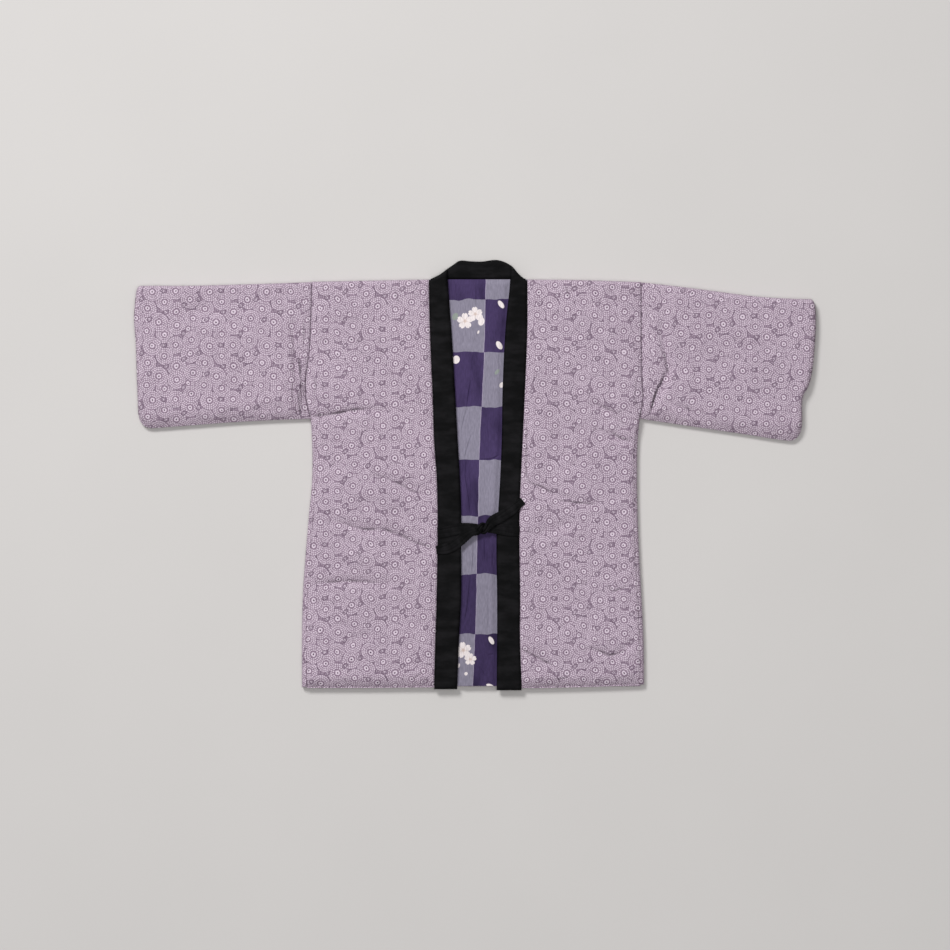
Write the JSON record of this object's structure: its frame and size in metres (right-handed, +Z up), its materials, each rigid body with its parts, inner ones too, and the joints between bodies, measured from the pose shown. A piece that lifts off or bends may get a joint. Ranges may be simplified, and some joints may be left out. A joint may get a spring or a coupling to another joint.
{
  "type": "hanten jacket laid flat",
  "caption": "Wadded hanten jacket laid flat and open, with spread sleeves, a plain band collar, a lining that shows between the fronts and cloth ties in a loose half knot.",
  "frame": {"origin": "on the floor, at the middle of the outline of the spread jacket", "axes": "+X to the right of a viewer who looks down on the fronts, +Y from the hem to the neck, +Z up from the floor"},
  "size_m": [1.278, 0.8078, 0.0267],
  "materials": {
    "print": "matt printed cotton, pale dotted rounds on mauve",
    "check": "smooth printed cotton, purple and grey checks",
    "black": "black cotton sateen"
  },
  "bodies": {
    "root": {"back": "print", "back_lining": "check", "front_left": "print", "front_right": "print", "gusset_left": "print", "gusset_right": "print", "sleeve_left": "print", "sleeve_right": "print", "collar_left": "black", "collar_right": "black", "collar_neck": "black", "tie_left": "black", "tie_right": "black"}
  },
  "joints": []
}
